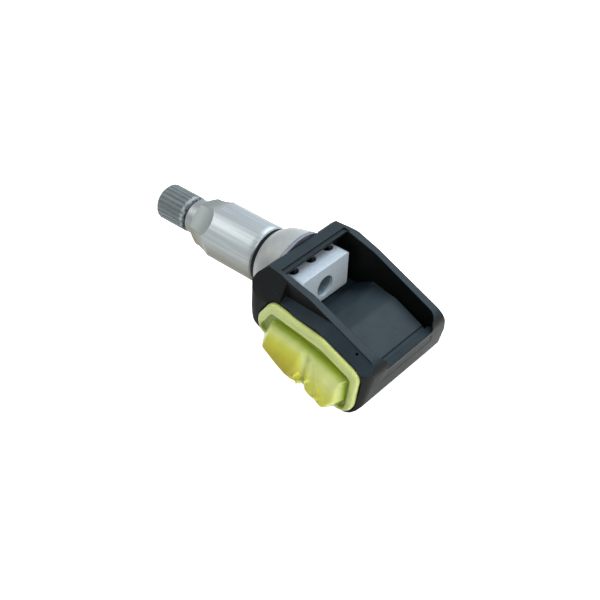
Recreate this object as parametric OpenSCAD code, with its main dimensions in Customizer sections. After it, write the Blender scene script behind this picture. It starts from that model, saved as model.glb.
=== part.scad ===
// Tyre pressure sensor with a clamp-in valve, in millimetres.
// +X runs along the valve axis from the cap to the housing's tail, +Z is up, and the origin is on
// the valve axis in the plane where the nut's washer meets the rim.

/* [Valve stem] */
// Diameter of the threaded mouth that takes the cap
mouth_d = 7.7; // [7.5:0.05:7.9]
// Diameter of the threaded shank that takes the nut
shank_d = 10; // [9.6:0.1:10.4]
// Diameter of the plain neck inside the grommet
neck_d = 9; // [8.4:0.1:9.4]
// Diameter of the tail thread that holds the clamp block
tail_thread_d = 6; // [5.6:0.1:6.6]
// Distance from the origin to the end of the mouth
mouth_reach = 36.2; // [35:0.1:40]
// Diameter of the chamber that the valve core screws into
core_bore_d = 5.3; // [5.1:0.05:5.6]
// Length of the core chamber
core_bore_l = 14; // [13.6:0.1:16]
// Diameter of the air passage
air_bore_d = 2.2; // [1.6:0.1:2.6]

/* [Nut] */
// Diameter of the round bar that the nut is turned from
nut_d = 16; // [15.2:0.1:16.5]
// Distance across the nut's flats at the front
nut_flats = 14.2; // [13.6:0.1:14.6]
// Diameter of the nut's plain nose
nose_d = 10; // [9.8:0.1:10.6]
// Length of the nose
nose_l = 2.9; // [2:0.1:4]
// Length of the nut without its nose
nut_l = 24; // [22:0.1:24.8]

/* [Washer and grommet] */
// Diameter of the washer under the nut
washer_d = 15.7; // [14:0.1:15.9]
// Thickness of the washer
washer_t = 1; // [0.6:0.1:1.4]
// Diameter of the grommet's collar, which stands in the rim's hole
collar_d = 11.3; // [11:0.1:11.5]
// Length of the collar in front of the washer
collar_l = 2.2; // [1.5:0.1:2.6]
// Diameter of the grommet where it meets the rim
grommet_front_d = 15.7; // [15:0.1:16.4]
// Diameter of the grommet where it meets the housing
grommet_rear_d = 22.4; // [21.4:0.1:22.8]
// Thickness of the grommet's backing ring
ring_t = 1; // [0.8:0.1:1.2]

/* [Cap] */
// Diameter of the cap
cap_d = 10.3; // [9.8:0.1:10.6]
// Length of the cap
cap_l = 10.3; // [9.6:0.1:11]
// Number of grip grooves round the cap
cap_grooves = 24; // [12:1:30]
// Thickness of the sealing ring in the cap
cap_seal_t = 0.5; // [0.4:0.1:0.8]

/* [Clamp block] */
// Width of the block, across the housing
block_w = 20.4; // [18:0.1:22]
// Height of the block
block_h = 10.3; // [9:0.1:11]
// Thickness of the block's solid part
block_t = 3.8; // [3:0.1:4]
// Length of the fins that bear on the housing's front wall
fin_l = 2.4; // [1.6:0.1:3]
// Width of a pocket between the fins
pocket_w = 3.2; // [2.4:0.1:4.4]
// Depth of the stem's end below the block's face
stem_recess = 0.8; // [0.4:0.1:1.4]

/* [Housing] */
// Angle between the housing's base and the valve axis
base_tilt = 23.5; // [21:0.5:25]
// Distance from the valve axis to the housing's side that carries the plug
side_y = 17.6; // [17.3:0.1:18.5]
// Distance from the valve axis to the foot of the far side, which leans in
far_y = 19.5; // [18.6:0.1:20]
// Width over the two raised ears
ears_w = 28.4; // [27.8:0.1:29]
// Thickness of an ear at the front
ear_t = 1.6; // [1.2:0.1:2]
// Thickness that an ear gains towards the tail
ear_gain = 1; // [0:0.1:1.4]
// Height of the ears above the base
ears_h = 18.3; // [18:0.1:18.8]
// Height of the flat panel above the base
panel_h = 14.1; // [13.8:0.1:14.6]
// Thickness of the general wall
wall = 1.4; // [1.1:0.1:1.5]
// Height of the front wall's top above the valve axis
front_h = 10.1; // [9.6:0.1:10.6]
// Thickness of the front wall where the stem passes it
front_t = 2.1; // [1.8:0.1:2.5]
// Thickness of the wall between the valley round the panel and the room below
valley_t = 2.1; // [1.2:0.1:3]
// Width of the valley
valley_w = 2; // [1.4:0.1:2.4]

/* [Side plug] */
// Height of the plug's flange above the base edge
plug_h = 15.1; // [14.6:0.1:15.4]
// Depth of the recess that the flange lies in
plug_recess = 0.7; // [0.4:0.1:1]
// Height of the flange above the housing's side
plug_proud = 0.8; // [0.5:0.1:1.2]
// Width of the flange's raised rim
rim_w = 2; // [1.6:0.1:2.4]
// Height of the lump above the flange
lobe_out = 5.6; // [4.4:0.1:6.2]

/* [Electronics] */
// Diameter of the battery cell
cell_d = 20; // [18:0.1:20.4]
// Thickness of the battery cell
cell_t = 3.2; // [2.5:0.1:3.2]
// Thickness of the circuit board
board_t = 1; // [0.8:0.1:1.2]
// Length of the circuit board along the base
board_l = 20.6; // [19:0.1:20.8]
// Width of the circuit board
board_w = 30; // [27:0.1:30.6]
// Side of the sensor chip
sensor_w = 7; // [5:0.1:8]

/* [Hidden] */
$fn = 72;
eps = 0.01;
far = 80;
slip = 0.05;
gap = 0.1;

// Places along the valve axis
grommet_rear = 9.7;
wall_front = grommet_rear + ring_t;
wall_rear = wall_front + front_t;
block_front = wall_rear;
block_rear = block_front + fin_l + block_t;
stem_end = block_rear - stem_recess;
mouth_x = -mouth_reach;
cap_mouth = -27.8;
cap_end = cap_mouth - cap_l;
cap_floor = mouth_x - cap_seal_t;
nose_end = -nut_l - nose_l;
shank_front = -nut_l + 2.4;
shank_rear = -collar_l - 0.4;
block_z = 0.85;

// The base frame lies along the housing's base, with its origin near the tail
base_x = 38.8;
base_z = -18.4;
lean = 11.5;
tail_r = 5.5;
room_front = -21.5;
tail_a = room_front + cell_d + 6.8;
panel_end_a = tail_a - 4.7;
ear_in = ears_w / 2 - ear_t;
knee = [25.2, 7.3];
cheek_x = 7.1;
ledge_x = 17.8;
spear_x = 32.2;
pocket_floor = block_z - block_h / 2 - 0.9;
ramp_foot = block_rear + 0.9;

// A point of the base frame, a along the base and h above it, in the valve frame
function at_base(a, h) = [base_x + a * cos(base_tilt) + h * sin(base_tilt),
    base_z - a * sin(base_tilt) + h * cos(base_tilt)];

// Distance along the base of the leaning tail face at the height h
function tail_at(h) = tail_a - h * tan(lean);

// The corner p between its neighbours o and q, rounded with the radius p[2] in n steps
function unit(v) = v / norm(v);
function corner(o, p, q, n) =
    let (u = unit([o.x - p.x, o.y - p.y]), v = unit([q.x - p.x, q.y - p.y]))
    let (half = acos(u * v) / 2, c = [p.x, p.y] + unit(u + v) * p[2] / sin(half))
    let (s = [p.x, p.y] + u * p[2] / tan(half) - c, e = [p.x, p.y] + v * p[2] / tan(half) - c)
    let (turn = acos(max(-1, min(1, unit(s) * unit(e)))), way = sign(s.x * e.y - s.y * e.x))
    [for (i = [0:n]) c + [
        s.x * cos(way * turn * i / n) - s.y * sin(way * turn * i / n),
        s.x * sin(way * turn * i / n) + s.y * cos(way * turn * i / n)]];
function rounded(p, n = 6) = [for (i = [0:len(p) - 1])
    each p[i][2] > 0 ? corner(p[(i + len(p) - 1) % len(p)], p[i], p[(i + 1) % len(p)], n)
        : [[p[i].x, p[i].y]]];
function with_r(p, r) = [p.x, p.y, r];

// An outline in the XZ plane, as wide as w and centred on the valve axis
module side(points, w) {
    rotate([90, 0, 0]) linear_extrude(w, center = true) polygon(points);
}

// An outline in the XZ plane between two places across the housing
module side_between(points, y0, y1) {
    translate([0, y1, 0]) rotate([90, 0, 0]) linear_extrude(y1 - y0) polygon(points);
}

// Puts what is drawn with X along the base and Z above it in the base frame
module on_base() {
    translate([base_x, 0, base_z]) rotate([0, base_tilt, 0]) children();
}

// A solid of revolution round the valve axis, from points of [x, radius]
module turned(points) {
    rotate([0, 90, 0]) rotate_extrude() polygon([for (p = points) [p[1], p[0]]]);
}

// A plain tube along the valve axis
module tube_x(x0, x1, d_out, d_in) {
    translate([x0, 0, 0]) rotate([0, 90, 0]) difference() {
        cylinder(h = x1 - x0, d = d_out);
        translate([0, 0, -1]) cylinder(h = x1 - x0 + 2, d = d_in);
    }
}

module rod_x(x0, x1, d) {
    translate([x0, 0, 0]) rotate([0, 90, 0]) cylinder(h = x1 - x0, d = d);
}

// Housing

// Side view of the whole moulding, with the ears' crest as its upper edge
module housing_profile() {
    front_top = [11.2, front_h];
    side_between(rounded([
        with_r(at_base(-31.9, 0), 2.6),
        [cheek_x + 0.7, -1.8, 4],
        [cheek_x, 2.2, 5],
        [8.4, 7.3, 5],
        [front_top.x, front_top.y, 0.6],
        [15.6, front_h - 0.4, 0],
        [knee.x, knee.y, 6],
        with_r(at_base(tail_at(ears_h), ears_h), 4),
        with_r(at_base(tail_a, 0), tail_r)]), -side_y, far_y);
}

// Plan views that round the moulding's four upright corners
module plan_front() {
    translate([cheek_x - 0.3, 0, -far / 2]) linear_extrude(far)
        polygon(rounded([[0, -side_y, 4.6], [far, -side_y, 0], [far, far_y, 0], [0, far_y, 5]], 8));
}

module plan_tail() {
    on_base() translate([tail_a, 0, 0]) rotate([0, -lean, 0]) translate([0, 0, -far / 2])
        linear_extrude(far)
        polygon(rounded([[-far, -side_y, 0], [0, -side_y, 3.2], [0, far_y, 3.2], [-far, far_y, 0]], 6));
}

// The air outside the near ear, above a shoulder from one point to another on the ear's face, which
// falls by drop at the housing's side; it starts early and runs on, so that two stretches meet
module shoulder_air(from, to, early, drop) {
    run = norm(to - from) + early + 6;
    reach = side_y - ears_w / 2;
    translate([from.x, 0, from.y]) rotate([0, atan2(from.y - to.y, to.x - from.x), 0])
        translate([-early, 0, 0]) rotate([90, 0, 90]) linear_extrude(run)
        polygon([[-ears_w / 2, 0], [-ears_w / 2 - 2 * reach, -2 * drop],
            [-ears_w / 2 - 2 * reach, 20], [-ears_w / 2, 20]]);
}

// The air beside the front wall on the near side, which leans in towards its top
front_side_y = 13.6;
front_fall = (side_y + 0.1 - front_side_y) / (front_h - 2.2);
module front_side_air() {
    translate([-10, 0, 0]) rotate([90, 0, 90]) linear_extrude(ledge_x + 14)
        polygon([[-side_y - 0.1, 2.2], [-side_y - 8, 2.2], [-side_y - 8, 20], [-9, 20],
            [-front_side_y, front_h]]);
}

// The air outside the far side, which leans in from its foot up to the ear's crest, and turns in
// towards the front wall from the ledge on
foot_h = 5;
far_top_y = ears_w / 2 - 0.2;
function far_side_y(h) = far_y - (h - foot_h) * (far_y - far_top_y) / (ears_h - foot_h);
module far_side_air() {
    ledge_z = front_h - 0.95;
    ledge_h = (ledge_x - base_x) * sin(base_tilt) + (ledge_z - base_z) * cos(base_tilt);
    on_base() translate([-60, 0, 0]) rotate([90, 0, 90]) linear_extrude(far)
        polygon([[far_y, foot_h], [far_y + 20, foot_h], [far_y + 20, 30],
            [far_side_y(30), 30]]);
    translate([ledge_x, far_side_y(ledge_h), ledge_z]) rotate([0, 0, 8])
        translate([-30, 0, 0]) rotate([90, 0, 90]) linear_extrude(30)
        polygon([[16 * front_fall, -16], [far, -16], [far, 12], [-12 * front_fall, 12]]);
}

// Plan of the space between the ears, grown by g: it narrows towards the tail wall, where its
// corners are round
panel_end = at_base(panel_end_a, panel_h);
lip_x = panel_end.x + valley_w * 0.8;
module between_ears(g) {
    translate([0, 0, -far / 2]) linear_extrude(far)
        polygon(rounded([[0, -ear_in - g, 0], [lip_x + g, ear_gain - ear_in - g, max(0.1, 2.6 + g)],
            [lip_x + g, ear_in - ear_gain + g, max(0.1, 2.6 + g)], [0, ear_in + g, 0]], 6));
}

// The open tray between the ears, down to the block's seat, the ramp and the panel
module tray_air() {
    intersection() {
        side(rounded([
            [15.6, 30, 0], [15.6, front_h - 1.5, 0], [wall_rear, front_h - 1.5, 0.8],
            [wall_rear, pocket_floor, 0], [ramp_foot, pocket_floor, 0.6],
            with_r(at_base(-17.4, panel_h - 2.5), 3.5), with_r(at_base(-11, panel_h), 6),
            with_r(panel_end, 0.8), [far, panel_end.y + 0.2, 0], [far, 30, 0]], 4), far);
        between_ears(0);
    }
    // Over the tail wall's lip
    translate([lip_x - 3, ear_gain - ear_in + 2, panel_end.y + 0.2])
        cube([20, 2 * (ear_in - ear_gain - 2), 20]);
}

// The valley that runs beside the panel and behind it
module valley_air() {
    floor_h = room_top + valley_t;
    intersection() {
        side([at_base(-21.4, panel_h - 6.4), at_base(-19.2, floor_h - 1.4), at_base(-13, floor_h),
            [lip_x + 1, at_base(tail_a, floor_h).y], [lip_x + 1, panel_end.y + 3],
            at_base(-12, panel_h + 3)], far);
        difference() {
            between_ears(0);
            translate([0, 0, -far / 2]) linear_extrude(far)
                polygon(rounded([[-1, valley_w - ear_in, 0], [panel_end.x, valley_w + ear_gain - ear_in, 1.2],
                    [panel_end.x, ear_in - ear_gain - valley_w, 1.2], [-1, ear_in - valley_w, 0]], 4));
        }
    }
}

// The room for the cell, the board and what stands on it, open at the side that the plug closes
room_floor = wall;
room_top = 9;
function room_tail(h) = tail_at(h) - 1.7;
function room_outline(c) = rounded([[room_front + c, room_floor + c, 0],
    [room_tail(room_floor) - c, room_floor + c, tail_r - wall - c], [room_tail(room_top) - c, room_top - c, 0],
    [-17.4 + c, room_top - c, 0], [room_front + c, 4.6 - c, 0]]);

module room_air() {
    on_base() {
        side_between(room_outline(0), -side_y - 1, side_y - wall - 0.2);
        translate([-12.6, -8.8, room_top - 1]) cube([11.4, 17.6, panel_h - room_top - wall + 1]);
    }
}

// Two rails that carry the board
rail_h = 1.2;
board_z = room_floor + cell_t + 0.2 + rail_h;
module rails() {
    on_base() intersection() {
        side_between(room_outline(-eps), -side_y + 3, side_y - wall);
        union() {
            translate([room_front - 1, -14, board_z - rail_h]) cube([3.6, 28, rail_h]);
            translate([tail_a - 4.6, -14, board_z - rail_h]) cube([6, 28, rail_h]);
        }
    }
}

module housing() {
    color("#2c3235") union() {
        difference() {
            intersection() {
                housing_profile();
                plan_front();
                plan_tail();
            }
            shoulder_air([ledge_x, 4.4], [spear_x, 3.9], 0, 1.3);
            shoulder_air([spear_x, 4.1], [spear_x + 16, 4.1 - 16 * tan(base_tilt)], 4, 2.1);
            front_side_air();
            far_side_air();
            tray_air();
            valley_air();
            room_air();
            // Step along the front wall's rear edge
            translate([14.4, -ear_in, front_h - 0.8]) cube([2, 2 * ear_in, 3]);
            // Seat of the backing ring, square to the valve axis
            rod_x(-5, wall_front, grommet_rear_d + 0.8);
            rod_x(0, block_front + 1, tail_thread_d + 2 * gap);
            // Recess that the plug's flange lies in
            on_base() side_between(plug_outline(0.35), -side_y - 5, -side_y + plug_recess);
            // Air inlet in the shoulder
            on_base() translate([-5, -15, room_top - 2]) cylinder(h = 20, d = 0.7);
        }
        rails();
    }
}

// Side plug

// Outlines of the plug's flange and of the lump in its middle in the base frame, grown by g
function grown_r(r, g) = max(0.3, r + g);
function plug_outline(g) = rounded([
    [-31.7 - g, 0.3 - g, grown_r(4.2, g)], [tail_a - 1.2 + g, 0.1 - g, grown_r(4.4, g)],
    [tail_a - 5.7 + g, 0.5 + plug_h + g, grown_r(3, g)], [-13.6, 0.5 + plug_h + g, grown_r(6, g)],
    [-29.8 - g, 10.9 + g, grown_r(2.8, g)]], 6);
function lump_outline(g) = rounded([
    [-25.4 - g, 3 - g, grown_r(2.8, g)], [-14, 2.8 - g, 2], [-11, 4.2 - g, 1.5], [-8, 2.9 - g, 1.5],
    [-0.9 + g, 3.2 - g, grown_r(2.6, g)], [-2.2 + g, 10.8 + g, grown_r(2.4, g)], [-11, 10.2 + g, 2],
    [-15, 11.2 + g, 3], [-25 - g, 8.8 + g, grown_r(2.6, g)]], 5);

module side_plug() {
    out = plug_proud + lobe_out;
    color("#b2c03c") on_base() union() {
        difference() {
            side_between(plug_outline(0), -side_y - plug_proud, -side_y + plug_recess);
            difference() {
                side_between(plug_outline(-rim_w), -side_y - 5, -side_y - 0.1);
                side_between(plug_outline(-rim_w - 1.5), -side_y - 6, -side_y + 1);
            }
        }
        side_between(room_outline(gap), -side_y + plug_recess - 0.5, -side_y + 2.6);
        // The lump's edges are rounded off in three steps
        side_between(lump_outline(0), -side_y - out + 1.7, -side_y + 0.2);
        side_between(lump_outline(-0.6), -side_y - out + 0.7, -side_y);
        side_between(lump_outline(-1.5), -side_y - out, -side_y);
    }
}

// Valve stem

module valve_stem() {
    step = core_bore_d / 2 - 0.8;
    color("#b4babb") difference() {
        turned([
            [mouth_x, 0], [mouth_x, mouth_d / 2 - 0.5], [mouth_x + 0.5, mouth_d / 2],
            [shank_front - 0.6, mouth_d / 2], [shank_front, shank_d / 2], [shank_rear, shank_d / 2],
            [shank_rear, neck_d / 2], [grommet_rear, neck_d / 2], [grommet_rear, tail_thread_d / 2],
            [stem_end, tail_thread_d / 2], [stem_end, 0]]);
        turned([
            [mouth_x - 1, 0], [mouth_x - 1, core_bore_d / 2], [mouth_x + core_bore_l - 3, core_bore_d / 2],
            [mouth_x + core_bore_l - 2.2, step], [mouth_x + core_bore_l, step],
            [mouth_x + core_bore_l + 0.6, air_bore_d / 2], [wall_rear + 1.6, air_bore_d / 2],
            [wall_rear + 1.6, 0]]);
        // Cross hole that lets the tyre's air in between the block's fins
        translate([wall_rear + 1.2, 0, 0]) cylinder(h = 20, d = 1.8, center = true);
    }
}

// Clamp block

module clamp_block() {
    web = (block_w - 3 * pocket_w) / 2.9;
    color("#a9b6c0") difference() {
        translate([block_front, 0, block_z]) rotate([90, 0, 90]) linear_extrude(block_rear - block_front)
            polygon(rounded([
                [-block_w / 2, -block_h / 2, 1.6], [block_w / 2, -block_h / 2, 1.6],
                [block_w / 2, block_h / 2, 1.8], [-block_w / 2, block_h / 2, 1.8]], 6));
        // Three upright pockets with round ends, open towards the wall
        for (i = [-1:1])
            translate([block_front, i * (pocket_w + web), block_z - far / 2]) union() {
                translate([-1, -pocket_w / 2, 0]) cube([fin_l + 1 - pocket_w / 2, pocket_w, far]);
                translate([fin_l - pocket_w / 2, 0, 0]) cylinder(h = far, d = pocket_w);
            }
        rod_x(0, block_rear + 1, tail_thread_d + 2 * slip);
        // Chamfer down the far edge of the block's face
        translate([block_rear, block_w / 2 + 0.3, 0]) rotate([0, 0, 45]) cube([1.6, 1.6, far], center = true);
    }
}

// Nut, washer and grommet

module sleeve_nut() {
    flat_cut = (nut_d - nut_flats) / 2;
    run_out = -3.5;
    color("#adb0ab") difference() {
        turned([
            [nose_end, 0], [nose_end, nose_d / 2 - 0.3], [nose_end + 0.3, nose_d / 2],
            [-nut_l, nose_d / 2], [-nut_l + 3, nut_d / 2], [-1, nut_d / 2], [0, nut_d / 2 - 0.5], [0, 0]]);
        // Six flats that run out towards the round base
        for (i = [0:5]) rotate([i * 60 + 15, 0, 0])
            translate([run_out, 0, nut_d / 2]) rotate([0, -atan2(flat_cut, nut_l + run_out), 0])
                translate([-far, -far / 2, 0]) cube([far, far, 5]);
        rod_x(nose_end - 1, 1, mouth_d + 0.6);
        rod_x(shank_front - 1, 1, shank_d + 2 * slip);
        rod_x(shank_rear - 0.3, 1, collar_d + 0.3);
    }
}

module nut_washer() {
    color("#15191b") tube_x(0, washer_t, washer_d, collar_d + 0.3);
}

module rim_grommet() {
    waist = [for (t = [0:0.25:1])
        [washer_t + 0.5 + t * (grommet_rear - washer_t - 0.5),
            grommet_front_d / 2 + 0.5 + (grommet_rear_d / 2 - grommet_front_d / 2 - 0.5) * pow(t, 0.5)]];
    color("#bcbdb8") difference() {
        turned(concat([
            [-collar_l, 0], [-collar_l, collar_d / 2 - 0.4], [-collar_l + 0.4, collar_d / 2],
            [washer_t, collar_d / 2], [washer_t, grommet_front_d / 2]], waist, [[grommet_rear, 0]]));
        rod_x(-collar_l - 1, grommet_rear + 1, neck_d);
    }
}

module grommet_ring() {
    color("#8d93a8") tube_x(grommet_rear, wall_front, grommet_rear_d, tail_thread_d + 2 * gap);
}

// Cap

module valve_cap() {
    color("#5b6366") difference() {
        turned([
            [cap_end, 0], [cap_end, cap_d / 2 - 0.9], [cap_end + 0.9, cap_d / 2],
            [cap_mouth - 0.2, cap_d / 2], [cap_mouth, cap_d / 2 - 0.2], [cap_mouth, 0]]);
        rod_x(cap_floor, cap_mouth + 1, mouth_d + 2 * slip);
        for (i = [0:cap_grooves - 1]) rotate([i * 360 / cap_grooves, 0, 0])
            translate([cap_end - 1, 0, cap_d / 2 + 0.1]) rotate([0, 90, 0]) cylinder(h = cap_l, d = 0.7, $fn = 16);
    }
}

module cap_seal() {
    color("#202325") tube_x(cap_floor, mouth_x, mouth_d - 0.8, core_bore_d);
}

// Valve core

core_d = core_bore_d - 2 * gap;
core_front = mouth_x + 0.6;
core_rear = mouth_x + core_bore_l - 3.4;
pin_d = 1.1;
spring_d = 2.3;
spring_wire = 0.3;
spring_turns = 6;
press = 1.1;
gasket_x = core_rear - 3.4;

module core_body() {
    color("#c9a64c") difference() {
        turned([
            [core_front, 0], [core_front, core_d / 2], [gasket_x, core_d / 2], [gasket_x, core_d / 2 - 0.5],
            [gasket_x + 1.4, core_d / 2 - 0.5], [gasket_x + 1.4, core_d / 2 - 0.1],
            [core_rear, core_d / 2 - 0.4], [core_rear, 0]]);
        rod_x(core_front - 1, core_rear + 1, pin_d + 0.3);
        rod_x(core_front + 1.2, core_rear - 1.2, spring_d + 0.5);
        // Cut-outs that leave the bridge a tool turns the core by
        for (s = [-1, 1]) translate([core_front - 1, s * 2.4, 0]) cube([5, 2.6, far], center = true);
    }
}

module core_gasket() {
    color("#e8e4d8") tube_x(gasket_x, gasket_x + 1.4, core_d, core_d - 1);
}

collar_x = core_rear - 1.2 - spring_turns * 0.75 - spring_wire - press - 0.5;
module core_pin() {
    color("#d3b660") union() {
        rod_x(mouth_x + 0.25, core_rear + 1.1, pin_d);
        rod_x(collar_x - 0.4, collar_x, spring_d);
    }
}

module core_pin_seal() {
    color("#2a2c2b") tube_x(core_rear, core_rear + 0.8, 2.9, pin_d);
}

// Points of a round wire wound into a helix about the valve axis
module core_spring() {
    sides = 6;
    steps = 12 * spring_turns;
    r = (spring_d - spring_wire) / 2 + 0.1;
    x0 = collar_x + press + spring_wire / 2 + 0.1;
    x1 = core_rear - 1.2 - spring_wire / 2 - 0.02;
    points = [for (i = [0:steps]) let (a = 360 * i / 12, x = x0 + (x1 - x0) * i / steps)
        for (k = [0:sides - 1]) let (b = 360 * k / sides, q = r + spring_wire / 2 * cos(b))
            [x + spring_wire / 2 * sin(b), q * cos(a), q * sin(a)]];
    faces = concat([[for (k = [0:sides - 1]) k]],
        [for (i = [0:steps - 1], k = [0:sides - 1]) let (m = (k + 1) % sides)
            [i * sides + m, i * sides + k, (i + 1) * sides + k, (i + 1) * sides + m]],
        [[for (k = [sides - 1:-1:0]) steps * sides + k]]);
    color("#9aa0a2") polyhedron(points, faces);
}

// Electronics, all in the base frame

cell_a = room_front + 0.15 + cell_d / 2;
board_a = -18.9;
board_y = -14.4;
deck = board_z + board_t;

module battery_cell() {
    color("#b9bcbc") on_base() translate([cell_a, 0, room_floor]) union() {
        cylinder(h = 0.4, d1 = cell_d - 0.8, d2 = cell_d);
        translate([0, 0, 0.4]) cylinder(h = cell_t - 0.8, d = cell_d);
        cylinder(h = cell_t, d = cell_d - 2.4);
    }
}

module battery_tabs() {
    top = room_floor + cell_t;
    color("#c8c7bf") on_base() {
        side_between([[-16, top], [-8, top], [-8, top + 0.2], [-15.8, top + 0.2], [-15.8, board_z],
            [-16, board_z]], -1.5, 1.5);
        translate([cell_a + cell_d / 2, -1.5, room_floor + 0.6])
            cube([0.2, 3, board_z - room_floor - 0.6]);
    }
}

module circuit_board() {
    color("#2f6b45") on_base() translate([board_a, board_y, board_z]) cube([board_l, board_w, board_t]);
}

module chip(a, y, l, w, h) {
    on_base() translate([a, y, deck]) cube([l, w, h]);
}

sensor_a = -10.5;
sensor_h = 2.4;
module sensor_chip() {
    color("#232526") chip(sensor_a, -sensor_w / 2, sensor_w, sensor_w, sensor_h);
}

module port_filter() {
    color("#e6e6e1") on_base() translate([sensor_a + sensor_w / 2, 0, deck + sensor_h]) cylinder(h = 0.8, d = 3);
}

module radio_chip() {
    color("#1d1f20") chip(-14, 5.5, 4, 4, 0.9);
}

module crystal() {
    color("#c4c6c4") chip(-8.6, 5.8, 3.2, 2.5, 0.8);
}

coil_y = -11.5;
module coil_core() {
    color("#3a3836") union() {
        chip(-13, coil_y, 11, 2.6, 0.6);
        on_base() translate([-13, coil_y + 0.5, deck + 0.6]) cube([11, 1.6, 0.7]);
    }
}

module coil_winding() {
    color("#a8612e") on_base() translate([-11.5, coil_y + 0.3, deck + 0.6])
        difference() {
            cube([8, 2, 0.9]);
            translate([-1, 0.2, -1]) cube([10, 1.6, 1.7]);
        }
}

module capacitors() {
    color("#b08a5a") for (i = [0:5]) chip(-16.2 + 2.4 * i, -6.6, 1.6, 0.8, 0.8);
}

module antenna_strip() {
    a0 = -15;
    a1 = 0.5;
    top = room_top - 0.4;
    color("#c2a35a") on_base() side_between([[a0, deck], [a0, top], [a1, top], [a1, deck],
        [a1 - 0.4, deck], [a1 - 0.4, top - 0.4], [a0 + 0.4, top - 0.4], [a0 + 0.4, deck]], 11.5, 13.5);
}

housing();
side_plug();
valve_stem();
clamp_block();
rim_grommet();
grommet_ring();
nut_washer();
sleeve_nut();
valve_cap();
cap_seal();
core_body();
core_gasket();
core_pin();
core_pin_seal();
core_spring();
circuit_board();
battery_cell();
battery_tabs();
sensor_chip();
port_filter();
radio_chip();
crystal();
coil_core();
coil_winding();
capacitors();
antenna_strip();
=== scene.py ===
"""Looks of a tyre pressure sensor with a clamp-in valve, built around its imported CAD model."""
import math

import bpy
import numpy as np
from mathutils import Matrix, Vector


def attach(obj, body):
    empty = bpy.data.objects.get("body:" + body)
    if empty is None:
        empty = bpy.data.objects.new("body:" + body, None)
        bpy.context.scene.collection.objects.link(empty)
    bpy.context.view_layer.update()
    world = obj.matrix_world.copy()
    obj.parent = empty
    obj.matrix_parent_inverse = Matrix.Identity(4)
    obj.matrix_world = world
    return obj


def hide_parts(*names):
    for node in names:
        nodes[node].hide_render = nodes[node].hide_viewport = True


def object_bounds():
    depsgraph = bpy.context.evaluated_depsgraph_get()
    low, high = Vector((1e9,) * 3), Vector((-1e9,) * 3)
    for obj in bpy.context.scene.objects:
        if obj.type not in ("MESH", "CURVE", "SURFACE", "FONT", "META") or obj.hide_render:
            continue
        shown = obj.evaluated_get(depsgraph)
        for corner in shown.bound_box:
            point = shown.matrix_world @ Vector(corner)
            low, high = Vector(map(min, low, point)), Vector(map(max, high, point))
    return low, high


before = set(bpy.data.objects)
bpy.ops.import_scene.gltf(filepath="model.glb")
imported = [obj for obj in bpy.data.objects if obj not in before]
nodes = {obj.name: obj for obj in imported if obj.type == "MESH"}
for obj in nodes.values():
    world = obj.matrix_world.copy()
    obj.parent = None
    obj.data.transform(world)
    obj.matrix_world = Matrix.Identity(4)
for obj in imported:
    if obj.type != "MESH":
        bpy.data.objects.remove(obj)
cad_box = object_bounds()
MM = 0.001
bpy.context.scene.view_settings.view_transform = "Standard"


# Studio: a white floor under the sensor, one large softbox above and behind it, smaller ones at the
# camera's left and right, and an even pale world. The camera has the photograph's place and lens.
def linear(hex_colour):
    """An sRGB hex colour as linear RGBA: the power curve of the sRGB standard."""
    parts = [int(hex_colour[i:i + 2], 16) / 255 for i in (1, 3, 5)]
    return (*[c / 12.92 if c <= 0.04045 else ((c + 0.055) / 1.055) ** 2.4 for c in parts], 1.0)


def add(material, kind, links=None, **settings):
    """Adds a node of that kind. Keys that name a property set it, the others set an input, where
    underscores stand for spaces; links maps an input's name or number to another node's output."""
    node = material.node_tree.nodes.new("ShaderNode" + kind)
    for key, value in settings.items():
        if hasattr(node, key):
            setattr(node, key, value)
        else:
            node.inputs[key.replace("_", " ")].default_value = value
    for key, output in (links or {}).items():
        material.node_tree.links.new(output, node.inputs[key])
    return node


def new_material(name):
    """A material with an empty node tree."""
    material = bpy.data.materials.new(name)
    material.use_nodes = True
    material.node_tree.nodes.clear()
    return material


def new_piece(name, points, faces):
    """A mesh object of those points, in metres, and those faces."""
    mesh = bpy.data.meshes.new(name)
    mesh.from_pydata(points, [], faces)
    piece = bpy.data.objects.new(name, mesh)
    bpy.context.scene.collection.objects.link(piece)
    return piece


camera_data = bpy.data.cameras.new("camera")
camera_data.lens, camera_data.sensor_width = 72.0, 36.0
camera_data.clip_start, camera_data.clip_end = 0.01, 20.0
camera = bpy.data.objects.new("camera", camera_data)
camera_axes = Matrix(((0.7638, -0.4296, 0.4818), (0.6443, 0.4621, -0.6094), (0.0391, 0.7758, 0.6297)))
camera.matrix_world = Matrix.Translation(Vector((0.1650, -0.1948, 0.1922))) @ camera_axes.to_4x4()
bpy.context.scene.collection.objects.link(camera)
bpy.context.scene.camera = camera


def softbox(name, place, size, power, colour):
    """A square area light that looks at the middle of the sensor."""
    data = bpy.data.lights.new(name, "AREA")
    data.size, data.energy, data.color = size, power, linear(colour)[:3]
    lamp = bpy.data.objects.new(name, data)
    lamp.location = place
    lamp.rotation_mode = "QUATERNION"
    lamp.rotation_quaternion = (Vector((0.01, 0, 0)) - Vector(place)).to_track_quat("-Z", "Y")
    bpy.context.scene.collection.objects.link(lamp)


softbox("softbox_back", (0.09, 0.40, 0.52), 0.42, 4.6, "#f2f8ff")
softbox("softbox_left", (-0.45, -0.25, 0.40), 0.30, 1.5, "#fff9f0")
softbox("softbox_right", (0.60, -0.12, 0.24), 0.26, 2.8, "#fffaf2")


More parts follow.
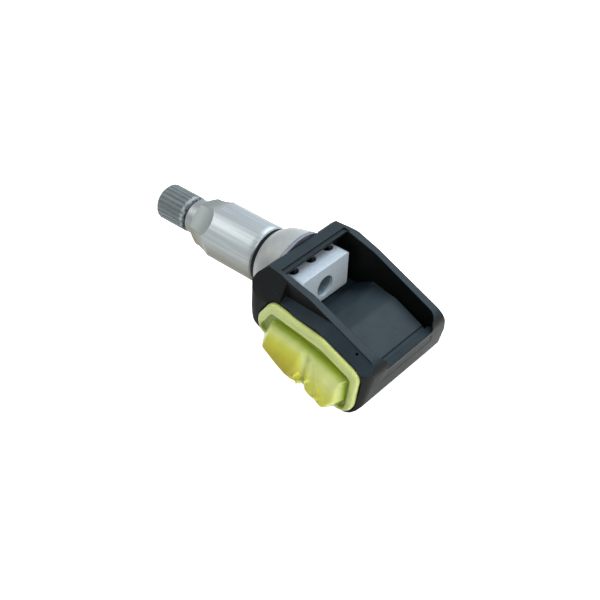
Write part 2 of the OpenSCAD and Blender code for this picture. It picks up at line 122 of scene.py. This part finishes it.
def direct_rays(owner):
    """1 where the camera looks, mirrored or through clear matter too, and 0 for light on matter."""
    rays = add(owner, "LightPath")
    seen = add(owner, "Math", {0: rays.outputs["Is Camera Ray"], 1: rays.outputs["Is Glossy Ray"]},
               operation="ADD")
    return add(owner, "Math", {0: seen.outputs[0], 1: rays.outputs["Is Transmission Ray"]},
               operation="ADD", use_clamp=True).outputs[0]


world = bpy.data.worlds.new("studio")
bpy.context.scene.world = world
world.use_nodes = True
world.node_tree.nodes.clear()
ambient = add(world, "Background", Color=linear("#eef3f8"), Strength=0.42)
white = add(world, "Background", Color=(1, 1, 1, 1), Strength=1.0)
sky = add(world, "MixShader", {0: direct_rays(world), 1: ambient.outputs[0], 2: white.outputs[0]})
add(world, "OutputWorld", {"Surface": sky.outputs[0]})

floor_z = cad_box[0].z - 0.3 * MM
floor = new_piece("floor", [(-3, -3, floor_z), (3, -3, floor_z), (3, 3, floor_z), (-3, 3, floor_z)],
                  [(0, 1, 2, 3)])
paper = new_material("white_studio_paper")
matte = add(paper, "BsdfDiffuse", Color=linear("#e6e6e6"))
glow = add(paper, "Emission", Color=(1, 1, 1, 1), Strength=0.84)
lit = add(paper, "AddShader", {0: matte.outputs[0], 1: glow.outputs[0]})
both = add(paper, "MixShader", {0: direct_rays(paper), 1: matte.outputs[0], 2: lit.outputs[0]})
add(paper, "OutputMaterial", {"Surface": both.outputs[0]})
floor.data.materials.append(paper)


# Housing: a black box moulded in glass-filled nylon, with fine grain and a satin skin. Its seat for
# the stem's clamp block is open at the top.
def object_coordinates(material, scale):
    """Object coordinates in millimetres times scale, so that a noise of scale 1 has 1 mm cells."""
    place = add(material, "TexCoord")
    return add(material, "Mapping", {"Vector": place.outputs["Object"]},
               Scale=tuple(1000 * s for s in scale)).outputs[0]


def mix(material, factor, first, second, **settings):
    """Mixes two colours by factor. Each is a hex colour or another node's output."""
    node = add(material, "Mix", {0: factor}, data_type="RGBA", **settings)
    for socket, colour in ((6, first), (7, second)):
        if isinstance(colour, str):
            node.inputs[socket].default_value = linear(colour)
        else:
            material.node_tree.links.new(colour, node.inputs[socket])
    return node.outputs[2]


def principled(material, links, **settings):
    """Ends a material with a Principled shader."""
    shader = add(material, "BsdfPrincipled", links, **settings)
    add(material, "OutputMaterial", {"Surface": shader.outputs[0]})


def dress(node_name, material, edge=0.0, sharp=30):
    """Gives a CAD node its material, joins its loose triangles and rounds its edges by edge mm."""
    piece = nodes[node_name]
    piece.data.materials.clear()
    piece.data.materials.append(material)
    piece.data.polygons.foreach_set("use_smooth", [True] * len(piece.data.polygons))
    piece.data.polygons.foreach_set("material_index", [0] * len(piece.data.polygons))
    join = piece.modifiers.new("join", "WELD")
    join.merge_threshold = 0.002 * MM
    if edge:
        flat = piece.modifiers.new("flat", "DECIMATE")
        flat.decimate_type, flat.angle_limit = "DISSOLVE", math.radians(0.6)
        rounding = piece.modifiers.new("rounding", "BEVEL")
        rounding.limit_method, rounding.angle_limit = "ANGLE", math.radians(sharp)
        rounding.width, rounding.segments = edge * MM, 3
        rounding.harden_normals = False
        rounding.miter_outer = "MITER_ARC"
        shade = piece.modifiers.new("shade", "WEIGHTED_NORMAL")
        shade.weight, shade.keep_sharp = 60, False
    else:
        split = piece.modifiers.new("split", "EDGE_SPLIT")
        split.split_angle = math.radians(sharp)


# Moulded black polyamide: a near-black body with a 0.4 mm grain and a weak satin reflection. Faces
# that look up are painted a lighter grey-blue, in patches: a painted sheen, partly dust, which the
# upright ones don't get. There are a few pale specks of dust about 0.3 mm wide.
nylon = new_material("moulded_glass_filled_nylon")
grain_place = object_coordinates(nylon, (1, 1, 1))
grain = add(nylon, "TexNoise", {"Vector": grain_place}, Scale=2.4, Detail=3.0, Roughness=0.6)
clouds = add(nylon, "TexNoise", {"Vector": grain_place}, Scale=0.16, Detail=4.0)
facing = add(nylon, "SeparateXYZ", {0: add(nylon, "TexCoord").outputs["Normal"]})
# Painted sheen: faces that look up are made lighter grey-blue in place of the softbox's reflection, and
# the clouds make it patchy like dust.
up_facing_painted_sheen = add(nylon, "MapRange", {0: facing.outputs["Z"]}, interpolation_type="SMOOTHSTEP",
           From_Min=0.3, From_Max=0.9, To_Max=0.8)
patchy = add(nylon, "MapRange", {0: clouds.outputs[0]}, To_Min=0.55, To_Max=1.45)
painted_sheen_and_dust = add(nylon, "Math", {0: up_facing_painted_sheen.outputs[0], 1: patchy.outputs[0]}, operation="MULTIPLY",
           use_clamp=True)
specks = add(nylon, "TexNoise", {"Vector": grain_place}, Scale=1.6, Detail=1.0)
lint = add(nylon, "MapRange", {0: specks.outputs[0]}, From_Min=0.735, From_Max=0.78, To_Max=0.5)
sheen_dust_and_specks = add(nylon, "Math", {0: painted_sheen_and_dust.outputs[0], 1: lint.outputs[0]}, operation="ADD")
tone = mix(nylon, sheen_dust_and_specks.outputs[0], "#080a09", "#253138", clamp_factor=False)
satin = add(nylon, "MapRange", {0: grain.outputs[0]}, To_Min=0.42, To_Max=0.58)
soft_edge = add(nylon, "Bevel", Radius=0.35 * MM, samples=6)
bump = add(nylon, "Bump", {"Height": grain.outputs[0], "Normal": soft_edge.outputs[0]},
           Strength=0.12, Distance=0.05 * MM)
principled(nylon, {"Base Color": tone, "Roughness": satin.outputs[0], "Normal": bump.outputs[0]},
           IOR=1.5, Specular_IOR_Level=0.1)
dress("housing", nylon, sharp=32)

# The tail wall's lip between the ears: it is moulded in one with the housing, closes the valley
# behind the panel, and is flush with the tail's face. Its section is a four-sided X-Z outline.
lip_outline = np.array([(44.6, -9.9), (45.88, -9.9), (46.81, -5.54), (44.6, -5.54)])
lip_points = np.vstack([np.insert(lip_outline, 1, y, 1) for y in (-10.9, 10.9)]) * MM
tail_lip = new_piece("tail_lip", lip_points.tolist(), [(0, 1, 2, 3), (7, 6, 5, 4), (0, 4, 5, 1),
                                                       (1, 5, 6, 2), (2, 6, 7, 3), (3, 7, 4, 0)])
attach(tail_lip, "sensor")
tail_lip.data.materials.append(nylon)

# Side plug: one soft moulding in yellow-green translucent silicone with a raised rim, a groove and
# a crumpled lump. It is pressed into the housing's near side and closes the electronics' room.
# On that side, a runs towards the tail and h up from the base, in mm from CORNER_X and CORNER_Z.
TILT = math.radians(23.5)
SIDE_Y, CORNER_X, CORNER_Z = -17.6, 38.8, -18.4
PLUG_SPOKES, BAND, BAND_ROWS, LUMP_ROWS = 280, 0.36, 34, 46


def rounded(corners, steps=8):
    """A closed outline through the corners (a, h, r): each is an arc that leaves the two sides at
    r / tan(half the corner's angle)."""
    place, r = np.array(corners)[:, :2], np.array(corners)[:, 2:]
    u, v = np.roll(place, 1, 0) - place, np.roll(place, -1, 0) - place
    u, v = u / np.linalg.norm(u, axis=1, keepdims=True), v / np.linalg.norm(v, axis=1, keepdims=True)
    half = np.arccos((u * v).sum(1, keepdims=True)) / 2
    middle = place + (u + v) / np.linalg.norm(u + v, axis=1, keepdims=True) * r / np.sin(half)
    s, e = place + u * r / np.tan(half) - middle, place + v * r / np.tan(half) - middle
    turn = np.arctan2(s[:, :1] * e[:, 1:] - s[:, 1:] * e[:, :1], (s * e).sum(1, keepdims=True))
    angle = turn * np.linspace(0, 1, steps + 1)
    c, n = np.cos(angle), np.sin(angle)
    arcs = np.stack([s[:, :1] * c - s[:, 1:] * n, s[:, :1] * n + s[:, 1:] * c], -1)
    return (middle[:, None] + arcs).reshape(-1, 2)


def depth_inside(points, outline):
    """The distance of each point from a closed outline, below zero outside it."""
    ends = np.roll(outline, -1, 0)
    along = ends - outline
    rel = points[:, None] - outline[None]
    t = np.clip((rel * along).sum(2) / np.maximum((along ** 2).sum(1), 1e-12), 0, 1)
    nearest = np.sqrt(((rel - t[..., None] * along) ** 2).sum(2)).min(1)
    up = (outline[:, 1] > points[:, None, 1]) != (ends[:, 1] > points[:, None, 1])
    rise = np.where(np.abs(along[:, 1]) < 1e-9, 1e-9, along[:, 1])
    cross = points[:, None, 0] < outline[:, 0] + rel[:, :, 1] * along[:, 0] / rise
    return np.where((up & cross).sum(1) % 2 == 1, nearest, -nearest)


def plug_height(a, h, edge, groove):
    """Heights above the housing's side, and tones for the colour. The rim is 0.85 mm high, falls by
    0.2 mm at 1.5 mm from its edge, and drops to the groove's floor where the groove's outline
    starts. The lump is the smooth least of five planes: its steep top, its face that swells
    downwards, its ends and its underside. It sags between its two lobes, has four small bumps, each
    exp(-distance^2), and folds of |sin|. The tone is 0 on the floor, 0.3 on the rim and rises with
    the lump's height, less on the right lobe and at the bumps: paler there, a painted highlight."""
    rim = 0.85 - 0.6 * (1 - np.clip(edge / 0.6, 0, 1)) ** 2 - 0.2 * np.clip((edge - 1.4) / 0.3, 0, 1)
    step = np.clip(groove / 0.7, 0, 1)
    step = step * step * (3 - 2 * step)
    floor = rim + (0.1 - rim) * step
    u = np.interp(a, (-27, -18.3, -12.5, -7, -3), (6.4, 9.1, 10.2, 10.9, 10.9)) - h
    right = np.clip((a + 15) / 5, 0, 1)
    planes = np.stack([0.1 + 3.4 * u, 2.4 + (0.5 - 0.24 * right) * u, 0.2 + 1.7 * (a + 27.1),
                       0.1 + 2.4 * (np.interp(h, (1, 5, 11), (-0.8, 0.1, -2.4)) - a),
                       1.6 + 3.2 * (h - 0.5)])
    body = -np.log(np.exp(-2.2 * np.clip(planes, -4, 12)).sum(0)) / 2.2
    folds = 0.5 * np.abs(np.sin(0.62 * a + 0.35 * h + 0.9 * np.sin(0.5 * h + 0.21 * a)))
    folds += 0.12 * np.abs(np.sin(1.3 * a + 1.9 * h + 1.3 * np.sin(0.7 * a)))
    body = body + (folds - 0.35) * (0.06 + 0.5 * right) * np.clip(body / 2, 0, 1)
    body = body - 1.2 * np.exp(-((a + 12.6 + 0.4 * (h - 6)) / 1.3) ** 2) * np.clip(body / 3, 0, 1)
    bumps = sum(tall * np.exp(-((a - a0) ** 2 + (h - h0) ** 2) / wide ** 2)
                for a0, h0, tall, wide in ((-12.8, 3.6, 1.2, 0.5), (-9.9, 4.3, 1.2, 0.5),
                                           (-11.3, 2.1, 1.6, 0.6), (-5.2, 3.0, 0.8, 0.6)))
    body = np.where(edge > 0.5, np.minimum(body + bumps, 6.2), 0)
    # Painted highlight: the tone is lowered, which is paler, on the right lobe and near the bumps.
    tone_with_painted_highlight = np.clip(body / 6.4, 0, 1) * (1 - 0.12 * right) - 0.3 * np.clip(bumps - 0.2, 0, 1)
    tones_with_painted_highlight = np.where(body > floor, np.maximum(tone_with_painted_highlight, 0.3 * (1 - step)), 0.3 * (1 - step))
    return np.maximum(floor, body), tones_with_painted_highlight


# Rows of points run from the flange's outline to its centre, closer together over the outer band.
flange = rounded([(-31.7, 0.3, 4.2), (4.1, 0.1, 4.4), (-0.4, 15.6, 3), (-13.6, 15.6, 6),
                  (-29.8, 10.9, 2.8)])
groove_edge = rounded([(-29.5, 1.1, 1.5), (1.9, 1.1, 2), (-1.6, 12.6, 1.6), (-12.5, 12.6, 3),
                       (-28.3, 8.4, 1.6)])
lengths = np.linalg.norm(np.roll(flange, -1, 0) - flange, axis=1)
walk = np.concatenate([[0], np.cumsum(lengths)])
stops = np.linspace(0, walk[-1], PLUG_SPOKES, endpoint=False)
closed = np.vstack([flange, flange[:1]])
rim_line = np.column_stack([np.interp(stops, walk, closed[:, k]) for k in (0, 1)])
centre = np.array([-13.0, 7.0])
shares = np.concatenate([1 - np.linspace(0, BAND, BAND_ROWS) ** 1.15 / BAND ** 0.15,
                         np.linspace(1 - BAND, 0, LUMP_ROWS)[1:-1]])
field = np.vstack([centre + (rim_line - centre) * f for f in shares] + [centre[None]])
heights, tones_with_painted_highlight = plug_height(field[:, 0], field[:, 1], np.maximum(depth_inside(field, flange), 0),
                             depth_inside(field, groove_edge))
back = np.column_stack([rim_line, np.full(PLUG_SPOKES, -0.7)])
grid = np.vstack([back, np.column_stack([field, heights])])
spoke = np.arange(PLUG_SPOKES)
turned = np.roll(spoke, -1)
rows = np.arange(len(shares))[:, None] * PLUG_SPOKES
quads = np.stack([rows + spoke, rows + turned, rows + PLUG_SPOKES + turned,
                  rows + PLUG_SPOKES + spoke], -1).reshape(-1, 4)
last, tip = len(shares) * PLUG_SPOKES, (len(shares) + 1) * PLUG_SPOKES
fans = np.column_stack([last + spoke, last + turned, np.full(PLUG_SPOKES, tip)])
points = np.column_stack([
    CORNER_X + grid[:, 0] * math.cos(TILT) + grid[:, 1] * math.sin(TILT), SIDE_Y - grid[:, 2],
    CORNER_Z - grid[:, 0] * math.sin(TILT) + grid[:, 1] * math.cos(TILT)]) * MM
plug = new_piece("silicone_plug", points.tolist(),
                 quads.tolist() + fans.tolist() + [spoke[::-1].tolist()])
plug.data.polygons.foreach_set("use_smooth", [True] * (len(plug.data.polygons) - 1) + [False])
plug_tone = plug.data.attributes.new("tone", "FLOAT", "POINT")
plug_tone.data.foreach_set("value", np.concatenate([np.full(PLUG_SPOKES, 0.3), tones_with_painted_highlight]))
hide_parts("side_plug")
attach(plug, "sensor")


def colour_ramp(material, source, *stops):
    """A colour ramp over source, with a stop at each (position, hex colour)."""
    node = add(material, "ValToRGB", {0: source})
    ends = node.color_ramp.elements
    ends[0].position, ends[0].color = stops[0][0], linear(stops[0][1])
    ends[1].position, ends[1].color = stops[-1][0], linear(stops[-1][1])
    for position, colour in stops[1:-1]:
        ends.new(position).color = linear(colour)
    return node.outputs[0]


# Moulded silicone rubber, translucent: dark olive green where the wall is thin, in the groove,
# milky on its edges, and yellow to amber where the lump is thick, with paler painted highlights.
silicone = new_material("moulded_translucent_silicone")
thickness_and_highlight_tone = add(silicone, "Attribute", attribute_name="tone")
skin = colour_ramp(silicone, thickness_and_highlight_tone.outputs["Fac"], (0.0, "#7a8c0e"), (0.12, "#93a834"),
                   (0.28, "#bfcb85"), (0.42, "#cdd58c"), (0.56, "#c6ca4c"), (0.78, "#b5ad30"),
                   (1.0, "#95891f"))
mottle = add(silicone, "TexNoise", {"Vector": object_coordinates(silicone, (1, 1, 1))}, Scale=0.35,
             Detail=3.0)
cloudy = mix(silicone, mottle.outputs[0], skin, "#e4e5c8", blend_type="MULTIPLY")
ripple = add(silicone, "Bump", {"Height": mottle.outputs[0]}, Strength=0.35, Distance=0.5 * MM)
principled(silicone, {"Base Color": cloudy, "Normal": ripple.outputs[0]}, Roughness=0.28, IOR=1.42,
           Subsurface_Weight=0.35, Subsurface_Radius=(1.0, 1.0, 0.25), Subsurface_Scale=1.5 * MM)
plug.data.materials.append(silicone)


# Valve stem, valve core's body and pin: turned metal in the middle of the valve. Of the stem only
# the disc of its tail end shows, in the clamp block's hole.
def turned_metal(name, colour_low, colour_high, rough, pitch, depth):
    """Metal turned on a lathe: faint rings of that pitch in mm along X and a slight colour drift."""
    material = new_material(name)
    place = object_coordinates(material, (1, 1, 1))
    rings = add(material, "TexWave", {"Vector": place}, wave_type="BANDS", bands_direction="X",
                Scale=2 * math.pi / (20 * pitch), Distortion=0.6, Detail=2.0)
    drift = add(material, "TexNoise", {"Vector": place}, Scale=0.3, Detail=4.0)
    tint = colour_ramp(material, drift.outputs[0], (0.3, colour_low), (0.7, colour_high))
    cut = add(material, "Bump", {"Height": rings.outputs[0]}, Strength=depth, Distance=0.02 * MM)
    spread = add(material, "MapRange", {0: drift.outputs[0]}, To_Min=rough - 0.05, To_Max=rough + 0.07)
    principled(material, {"Base Color": tint, "Normal": cut.outputs[0],
                          "Roughness": spread.outputs[0]}, Metallic=1.0)
    return material


dress("valve_stem", turned_metal("turned_aluminium_stem", "#6c8290", "#8b9ba4", 0.42, 0.4, 0.2), 0.1)
brass = turned_metal("turned_brass", "#c9a24a", "#d9b562", 0.3, 0.2, 0.2)
dress("core_body", brass)
dress("core_pin", brass)

# Clamp block: die-cast aluminium with a fine satin grain. It is threaded onto the stem's tail and
# bears on the inside of the housing's front wall with four fins.
die_cast = new_material("die_cast_aluminium")
cast_noise = add(die_cast, "TexNoise", {"Vector": object_coordinates(die_cast, (1, 1, 1))},
                 Scale=1.2, Detail=5.0)
cast_tone = colour_ramp(die_cast, cast_noise.outputs[0], (0, "#a6b4c0"), (1, "#c3d0da"))
cast_bump = add(die_cast, "Bump", {"Height": cast_noise.outputs[0]}, Strength=0.25,
                Distance=0.05 * MM)
principled(die_cast, {"Base Color": cast_tone, "Normal": cast_bump.outputs[0]}, Metallic=0.35,
           Roughness=0.42)
dress("clamp_block", die_cast, 0.3)

# Rim grommet: light grey rubber, moulded, with a satin skin and a faint bloom. It is pushed onto
# the stem and seals the rim's hole.
rubber = new_material("moulded_grey_rubber")
bloom = add(rubber, "TexNoise", {"Vector": object_coordinates(rubber, (1, 1, 1))}, Scale=0.3,
            Detail=3.0)
rubber_tone = colour_ramp(rubber, bloom.outputs[0], (0, "#858a8a"), (1, "#a5aaaa"))
rubber_bump = add(rubber, "Bump", {"Height": bloom.outputs[0]}, Strength=0.3, Distance=0.25 * MM)
principled(rubber, {"Base Color": rubber_tone, "Normal": rubber_bump.outputs[0]}, Roughness=0.42,
           IOR=1.5)
dress("rim_grommet", rubber, 0.3)

# Grommet ring: a thin turned ring, anodised bluish grey. It is clamped between the grommet and the
# housing's front wall.
dress("grommet_ring", turned_metal("anodised_ring", "#6b6e7a", "#7c7f8b", 0.5, 0.3, 0.1), 0.15)


# Sleeve nut: turned from aluminium bar, satin silver, with a round base and nose. A wide cutter
# mills six short flats at its front, 12 mm across, and leaves them with a curved end. The profile
# is (x, radius) in mm, and most rings lie where the flats' curved ends cross its side.
NUT_R, FLAT, CUTTER, FLAT_END, NUT_SPOKES = 8.1, 6.0, 12.7, -23.0, 240
nut_profile = np.array([
    (0, 5.8), (0, 7.55), (-0.05, 7.62), (-0.45, 8.06), (-0.5, NUT_R), (-14.5, NUT_R), (-22.9, NUT_R),
    (-22.95, 7.2), (-23.0, 7.0), (-23.9, 5.45), (-24.0, 5.2), (-24.1, 5.04), (-24.3, 5.0), (-26.5, 5.0),
    (-26.6, 4.98), (-26.85, 4.75), (-26.9, 4.68), (-26.9, 4.2), (-26.85, 4.15), (-22.6, 4.15),
    (-22.55, 5.05), (-3.5, 5.05), (-3.45, 5.8)])
loop = np.vstack([nut_profile, nut_profile[:1]])
sides = np.linalg.norm(np.diff(loop, axis=0), axis=1)
counts = np.clip((sides / 0.13).astype(int), 1, 60)
counts[4], counts[5] = 8, 84
nut_rings = np.vstack([loop[i] + (loop[i + 1] - loop[i]) * np.linspace(0, 1, n, endpoint=False)[:, None]
                       for i, n in enumerate(counts)])


def milled_radius(x, r, angle):
    """The least of the turned radius r and the flat's depth over the cosine of the angle to the
    flat's middle. The depth is FLAT up to FLAT_END, then FLAT + CUTTER - sqrt(CUTTER^2 - run^2)."""
    run = np.clip(x - FLAT_END, 0, CUTTER)
    depth_here = FLAT + CUTTER - np.sqrt(CUTTER ** 2 - run ** 2)
    turn = (angle - math.radians(18) + math.pi / 6) % (math.pi / 3) - math.pi / 6
    return np.where(r > 5.4, np.minimum(r, depth_here / np.cos(turn)), r)


spin = np.linspace(0, 2 * math.pi, NUT_SPOKES, endpoint=False)
ring_x = np.repeat(nut_rings[:, :1], NUT_SPOKES, 1)
turned_r = np.repeat(nut_rings[:, 1:], NUT_SPOKES, 1)
ring_r = milled_radius(ring_x, turned_r, spin[None])
finish = np.where(ring_r < turned_r - 0.02, 1.0, np.where(ring_x < -23.6, 0.5, 0.0))
nut_points = np.stack([ring_x, ring_r * np.cos(spin), ring_r * np.sin(spin)], -1).reshape(-1, 3) * MM
row, column = np.meshgrid(np.arange(len(nut_rings)), np.arange(NUT_SPOKES), indexing="ij")
next_row, next_column = (row + 1) % len(nut_rings), (column + 1) % NUT_SPOKES
nut_quads = np.stack([row * NUT_SPOKES + column, row * NUT_SPOKES + next_column,
                      next_row * NUT_SPOKES + next_column, next_row * NUT_SPOKES + column],
                     -1).reshape(-1, 4)
nut = new_piece("milled_sleeve_nut", nut_points.tolist(), nut_quads.tolist())
nut.data.polygons.foreach_set("use_smooth", [True] * len(nut_quads))
nut_finish = nut.data.attributes.new("finish", "FLOAT", "POINT")
nut_finish.data.foreach_set("value", finish.ravel())
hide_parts("sleeve_nut")
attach(nut, "nut")

# Satin turned aluminium with fine lengthwise streaks about 0.7 mm wide, coarser than the real ones
# so that they show. The milled flats and the nose are smooth and greyer, and the side that looks
# down at rest is darkened towards brown: painted shade.
nut_metal = new_material("satin_turned_aluminium")
streaks = add(nut_metal, "TexNoise", {"Vector": object_coordinates(nut_metal, (0.03, 1, 1))},
              Scale=1.2, Detail=3.0)
nut_tint = colour_ramp(nut_metal, streaks.outputs[0], (0.3, "#8c9498"), (0.72, "#a4adb2"))
made = add(nut_metal, "Attribute", attribute_name="finish")
smooth_tint = colour_ramp(nut_metal, made.outputs["Fac"], (0.5, "#868c90"), (1.0, "#7b8383"))
unstreaked = add(nut_metal, "Math", {0: made.outputs["Fac"]}, operation="MULTIPLY", use_clamp=True)
unstreaked.inputs[1].default_value = 2.0
even = mix(nut_metal, unstreaked.outputs[0], nut_tint, smooth_tint)
nut_facing = add(nut_metal, "SeparateXYZ", {0: add(nut_metal, "TexCoord").outputs["Normal"]})
# Painted shade: the side that looks down is darkened towards brown.
painted_underside_shade = add(nut_metal, "MapRange", {0: nut_facing.outputs["Z"]}, From_Min=0.6, From_Max=-0.5,
           To_Max=0.9)
shaded_nut_colour = mix(nut_metal, painted_underside_shade.outputs[0], even, "#67624f")
principled(nut_metal, {"Base Color": shaded_nut_colour}, Metallic=0.9, Roughness=0.48)
nut.data.materials.append(nut_metal)


# Nut washer: a thin ring moulded in black nylon. It lies between the nut and the grommet and moves
# along the valve with the nut.
def plain_plastic(name, colour_low, colour_high, rough, grain_mm, ior=1.5):
    """Moulded plastic, rubber or ceramic: two close tones and a fine grain of that size."""
    material = new_material(name)
    noise = add(material, "TexNoise", {"Vector": object_coordinates(material, (1, 1, 1))},
                Scale=1 / grain_mm, Detail=3.0)
    tint = colour_ramp(material, noise.outputs[0], (0, colour_low), (1, colour_high))
    bump = add(material, "Bump", {"Height": noise.outputs[0]}, Strength=0.15, Distance=0.03 * MM)
    principled(material, {"Base Color": tint, "Normal": bump.outputs[0]}, Roughness=rough, IOR=ior)
    return material


dress("nut_washer", plain_plastic("black_nylon_ring", "#060d10", "#0c161b", 0.55, 0.8, 1.2), 0.1)

# Valve cap: grey moulded plastic with grip grooves round it, whose crests are paler, and a pale ring
# with ragged edges round its open end, a painted highlight. Its rubber sealing ring is inside.
cap_grey = new_material("grey_moulded_cap")
cap_axes = add(cap_grey, "SeparateXYZ", {0: add(cap_grey, "TexCoord").outputs["Object"]})
across = add(cap_grey, "CombineXYZ", {1: cap_axes.outputs["Y"], 2: cap_axes.outputs["Z"]})
radius = add(cap_grey, "VectorMath", {0: across.outputs[0]}, operation="LENGTH")
cap_noise = add(cap_grey, "TexNoise", {"Vector": object_coordinates(cap_grey, (0.4, 1, 1))},
                Scale=1.1, Detail=4.0)
cap_tone = colour_ramp(cap_grey, cap_noise.outputs[0], (0.3, "#4b5457"), (0.7, "#5d686c"))
# The grip grooves' crests are made paler.
crest = add(cap_grey, "MapRange", {0: radius.outputs["Value"]}, From_Min=4.95 * MM,
            From_Max=5.14 * MM, To_Max=0.32)
paler_crest_colour = mix(cap_grey, crest.outputs[0], cap_tone, "#69757a")
# Painted highlight: a pale ring with ragged edges round the cap's open end.
rim_zone = add(cap_grey, "MapRange", {0: cap_axes.outputs["X"]}, From_Min=-29.1 * MM,
               From_Max=-28.3 * MM)
ragged_highlight_edge = add(cap_grey, "MapRange", {0: cap_noise.outputs[0]}, From_Min=0.42, From_Max=0.56)
painted_rim_highlight = add(cap_grey, "Math", {0: rim_zone.outputs[0], 1: ragged_highlight_edge.outputs[0]}, operation="MULTIPLY")
cap_colour = mix(cap_grey, painted_rim_highlight.outputs[0], paler_crest_colour, "#98a1a4")
cap_bump = add(cap_grey, "Bump", {"Height": cap_noise.outputs[0]}, Strength=0.3, Distance=0.1 * MM)
principled(cap_grey, {"Base Color": cap_colour, "Normal": cap_bump.outputs[0]}, Roughness=0.5,
           IOR=1.5)
dress("valve_cap", cap_grey, 0.2, 25)
dress("cap_seal", plain_plastic("black_rubber_seal", "#151718", "#1d2021", 0.6, 0.4))

# Valve core's small parts: a fluoropolymer ring, a rubber seal and a spring of drawn steel wire.
# They are held on the core's body and pin, inside the stem's mouth.
dress("core_gasket", plain_plastic("white_fluoropolymer", "#dedbd0", "#e8e6de", 0.4, 0.4))
dress("core_pin_seal", plain_plastic("black_rubber_pin_seal", "#17191a", "#202324", 0.6, 0.3))
dress("core_spring", turned_metal("drawn_spring_steel", "#8d9496", "#a5abad", 0.3, 0.1, 0.1))

# Electronics: a green board with a coin cell under it, its nickel tabs, and the chips, coil and
# antenna that measure, time and send. They are closed in by the housing and the side plug.
dress("circuit_board", plain_plastic("green_solder_mask", "#1f5a33", "#276b3d", 0.35, 1.5))
dress("battery_cell", turned_metal("nickel_plated_can", "#b9bcbc", "#c8caca", 0.25, 0.5, 0.05), 0.1)
dress("battery_tabs", turned_metal("nickel_strip", "#bdbeb8", "#cccdc7", 0.3, 0.5, 0.05))
chip_mould = plain_plastic("black_chip_mould", "#1b1d1e", "#242728", 0.5, 0.3)
dress("sensor_chip", chip_mould, 0.1)
dress("port_filter", plain_plastic("white_membrane", "#dcdcd8", "#e6e6e2", 0.8, 0.2))
dress("radio_chip", chip_mould, 0.05)
dress("crystal", turned_metal("plated_crystal_can", "#c2c4c2", "#d0d2d0", 0.22, 0.4, 0.05), 0.1)
dress("coil_core", plain_plastic("dark_ferrite", "#2f2e2c", "#3a3936", 0.55, 0.3), 0.05)
dress("coil_winding", plain_plastic("lacquered_copper_wire", "#8f4a20", "#b4652f", 0.25, 0.2))
dress("capacitors", plain_plastic("tinned_ceramic", "#a98a62", "#c0a27a", 0.4, 0.4))
dress("antenna_strip", brass)
